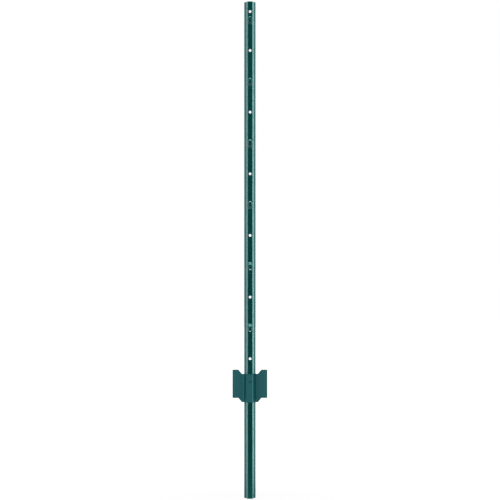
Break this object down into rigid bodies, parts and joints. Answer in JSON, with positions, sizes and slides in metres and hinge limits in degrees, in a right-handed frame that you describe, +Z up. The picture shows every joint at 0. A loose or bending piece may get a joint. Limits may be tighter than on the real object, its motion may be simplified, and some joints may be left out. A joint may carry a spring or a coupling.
{
  "type": "u-channel fence post",
  "caption": "Light-duty steel U-post: a hat-section channel with round holes and lanced wire hooks in its web, and a winged anchor plate welded over it above the foot.",
  "frame": {"origin": "middle of the web's thickness and width at the post's foot", "axes": "+Z up the post, -Y out of the closed side that faces the fencing, +X to the right seen from that side"},
  "size_m": [0.1068, 0.0344, 1.524],
  "materials": {
    "post_coating": "satin, dark green-blue baked coating",
    "plate_coating": "satin, lighter green-blue coating"
  },
  "bodies": {
    "root": {"channel_post": "post_coating", "anchor_plate": "plate_coating"}
  },
  "joints": []
}
